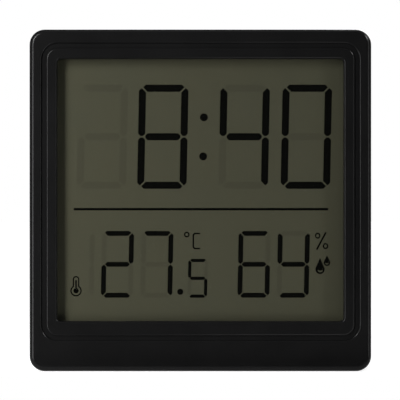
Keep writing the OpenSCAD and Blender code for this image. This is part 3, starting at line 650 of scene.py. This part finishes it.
# Lower line: humidity; the last digit's top segment is off
HUMIDITY_TENS_X, HUMIDITY_X = 14.18, 24.57
PERCENT_SLASH = ((30.75, 31.99), (33.2, 36.58))
SLASH_STROKE = 0.44
PERCENT_RINGS = (
    {"x": 31.01, "z": 35.67, "width": 1.45, "height": 1.6, "stroke": 0.37},
    {"x": 33.08, "z": 32.93, "width": 1.5, "height": 1.62, "stroke": 0.37},
)
humidity_shapes = (
    LOWER.shapes("acdefg", HUMIDITY_TENS_X, LOWER_Z)
    + LOWER.shapes("bcdfg", HUMIDITY_X, LOWER_Z)
    + [stroke_line(PERCENT_SLASH, SLASH_STROKE)]
    + [oval_ring(**ring) for ring in PERCENT_RINGS]
)
inlay("humidity_segments", humidity_shapes)

# Two drops with a light smile in each
DROPS = (
    {"x": 31.63, "low": 25.54, "high": 29.8, "width": 2.44},
    {"x": 33.47, "low": 27.66, "high": 30.42, "width": 1.75},
)
SMILES = (
    {"x": 31.68, "z": 26.75, "radius": 0.75, "stroke": 0.42, "spread": 1.1},
    {"x": 33.45, "z": 28.55, "radius": 0.52, "stroke": 0.32, "spread": 1.1},
)
inlay("drop_signs", [teardrop(**drop) for drop in DROPS])
inlay("drop_smiles", [crescent(**smile) for smile in SMILES], FINISHES["display_film"],
      back=film_front - INK_THICKNESS * MM)

# Segments that are off, faintly visible in the film
ghost_shapes = (
    TIME.shapes("abcdeg", TENS_X, TIME_Z)
    + TIME.shapes("ade", MINUTE_TENS_X, TIME_Z)
    + TIME.shapes("g", MINUTE_X, TIME_Z)
    + LOWER.shapes("bc", HUNDREDS_X, LOWER_Z)
    + LOWER.shapes("cf", DEGREE_TENS_X, LOWER_Z)
    + LOWER.shapes("defg", DEGREE_X, LOWER_Z)
    + TENTH.shapes("be", TENTH_X, TENTH_Z)
    + LOWER.shapes("b", HUMIDITY_TENS_X, LOWER_Z)
    + LOWER.shapes("ae", HUMIDITY_X, LOWER_Z)
)
inlay("ghost_segments", ghost_shapes, GHOST_FINISH, GHOST_THICKNESS)


# Stage: a pale table that ends just in front of the object, white around it, and lamps, in metres

TABLE_SIDE = 3.0
TABLE_BACK = 4.0
TABLE_LEDGE = 0.014
TABLE_GAP = 0.0001
table_front = front_face - TABLE_LEDGE

# The table's paint, and its own light as seen straight and in gloss
TABLE_COLOUR = (0.75, 0.75, 0.75)
TABLE_GLOW = 0.84
TABLE_SHINE = 0.4

# Strength of the world in front and behind, and where it rises, as the share of a direction that goes back
WORLD_FRONT = 0.015
WORLD_BACK = 0.85
WORLD_SHINE = 1
LIGHT_RISE = (-0.1, 0.6)
SHINE_RISE = (0.75, 1.0)


def seen_rays(tree):
    """1 for rays that show something straight to the eye, and 1 for those that do by gloss or glass."""
    path = new_node(tree, "ShaderNodeLightPath")
    turned = calculate(tree, "MAXIMUM", path.outputs["Is Glossy Ray"], path.outputs["Is Transmission Ray"])
    unscattered = calculate(tree, "LESS_THAN", path.outputs["Diffuse Depth"], 1)
    return path.outputs["Is Camera Ray"], calculate(tree, "MULTIPLY", turned, unscattered)


def pale_floor():
    """White table whose mirror image fades out towards its front edge."""
    material, tree, shader = new_material("pale_floor")
    tree.nodes.remove(shader)
    straight, turned = seen_rays(tree)
    inside = remap(tree, axis(tree, "Y"), (table_front, front_face), (0, 1), smooth=True)
    hidden = calculate(tree, "MULTIPLY", turned, calculate(tree, "SUBTRACT", 1.0, inside))
    paint = new_node(tree, "ShaderNodeBsdfDiffuse")
    feed(tree, paint.inputs["Color"], mix(tree, hidden, TABLE_COLOUR, (0, 0, 0)))
    glow = new_node(tree, "ShaderNodeEmission")
    shine = calculate(tree, "MULTIPLY", calculate(tree, "MULTIPLY", turned, inside), TABLE_SHINE)
    own_light = calculate(tree, "ADD", calculate(tree, "MULTIPLY", straight, TABLE_GLOW), shine)
    feed(tree, glow.inputs["Strength"], own_light)
    both = new_node(tree, "ShaderNodeAddShader")
    tree.links.new(paint.outputs["BSDF"], both.inputs[0])
    tree.links.new(glow.outputs["Emission"], both.inputs[1])
    tree.links.new(both.outputs["Shader"], tree.nodes["Material Output"].inputs["Surface"])
    return material


def studio_world():
    """White to the eye; as light and in gloss, dim in front of the object and bright behind it."""
    world = bpy.data.worlds.new("studio")
    world.use_nodes = True
    tree = world.node_tree
    background = tree.nodes["Background"]
    background.inputs["Color"].default_value = (1, 1, 1, 1)
    source = new_node(tree, "ShaderNodeTexCoord")
    split = new_node(tree, "ShaderNodeSeparateXYZ")
    tree.links.new(source.outputs["Generated"], split.inputs["Vector"])
    backwards = split.outputs["Y"]
    straight, turned = seen_rays(tree)
    scattered = calculate(tree, "SUBTRACT", 1.0, turned)
    light = remap(tree, backwards, LIGHT_RISE, (WORLD_FRONT, WORLD_BACK), smooth=True)
    shine = remap(tree, backwards, SHINE_RISE, (WORLD_FRONT, WORLD_SHINE), smooth=True)
    strength = straight
    for rays, level in ((scattered, light), (turned, shine)):
        strength = calculate(tree, "MAXIMUM", strength, calculate(tree, "MULTIPLY", rays, level))
    feed(tree, background.inputs["Strength"], strength)
    bpy.context.scene.world = world


def in_front(x, distance, z):
    """Point at x and z, at a distance in front of the object's front face."""
    return x, front_face - distance, z


def soft_box(name, place, aim, width, height, power, left_out=lens):
    """Rectangular lamp at place, turned towards aim, which doesn't light the object left_out."""
    lamp = bpy.data.lights.new(name, "AREA")
    lamp.shape = "RECTANGLE"
    lamp.size = width
    lamp.size_y = height
    lamp.energy = power
    holder = bpy.data.objects.new(name, lamp)
    holder.location = place
    holder.rotation_euler = (Vector(aim) - Vector(place)).to_track_quat("-Z", "Y").to_euler()
    holder.visible_camera = False
    receivers = bpy.data.collections.new(name + "_receivers")
    receivers.objects.link(left_out)
    receivers.collection_objects[0].light_linking.link_state = "EXCLUDE"
    holder.light_linking.receiver_collection = receivers
    bpy.context.scene.collection.objects.link(holder)
    return holder


floor_data = bpy.data.meshes.new("floor")
corners = ((-TABLE_SIDE, table_front), (TABLE_SIDE, table_front),
           (TABLE_SIDE, TABLE_BACK), (-TABLE_SIDE, TABLE_BACK))
floor_data.from_pydata([(x, y, -TABLE_GAP) for x, y in corners], [], [(0, 1, 2, 3)])
floor_data.materials.append(pale_floor())
floor = bpy.data.objects.new("floor", floor_data)
bpy.context.scene.collection.objects.link(floor)

studio_world()

# Two lamps on the left, the upper one brighter, and weak ones on the right, low in front and above.
# They leave out the lens, so that none is mirrored over the digits
soft_box("key_low", in_front(-0.222, 0.215, 0.01), aim=in_front(-0.222, 0, 0.01),
         width=0.15, height=0.2, power=0.64)
soft_box("key_high", in_front(-0.19, 0.215, 0.195), aim=in_front(-0.19, 0, 0.195),
         width=0.08, height=0.15, power=0.84)
soft_box("side", in_front(0.252, 0.14, 0.02), aim=in_front(0.045, 0, 0.02),
         width=0.05, height=0.3, power=0.2)
soft_box("low", in_front(0.12, 0.14, -0.08), aim=in_front(0.03, 0, 0.03),
         width=0.28, height=0.08, power=0.15)
soft_box("top", in_front(0.06, 0.07, 0.35), aim=in_front(0.06, 0, 0.09),
         width=0.25, height=0.12, power=0.055)

# A highlight on the upper right corner, which shows in gloss alone
glint = soft_box("glint", in_front(0.259, 0.141, 0.245), aim=in_front(0.0445, 0, 0.0895),
                 width=0.08, height=0.08, power=0.65)
glint.visible_diffuse = False

# The lamp behind leaves out the table, so that no shadow falls in front of the object
soft_box("back", (0.16, back_face + 0.3, 0.26), aim=(0, back_face, 0.045),
         width=0.2, height=0.2, power=0.8, left_out=floor)

# Camera straight in front, far enough away to look almost flat
VIEW_WIDTH = 0.10516
CAMERA_DISTANCE = 0.6
CAMERA_X = -0.0001
CAMERA_Z = 0.0451
SENSOR = 36.0
camera_data = bpy.data.cameras.new("camera")
camera_data.sensor_width = SENSOR
camera_data.lens = SENSOR * CAMERA_DISTANCE / VIEW_WIDTH
camera_data.clip_start = 0.01
camera_data.clip_end = 20
camera = bpy.data.objects.new("camera", camera_data)
camera.location = in_front(CAMERA_X, CAMERA_DISTANCE, CAMERA_Z)
camera.rotation_euler = (pi / 2, 0, 0)
bpy.context.scene.collection.objects.link(camera)
bpy.context.scene.camera = camera
bpy.context.scene.view_settings.view_transform = "Standard"
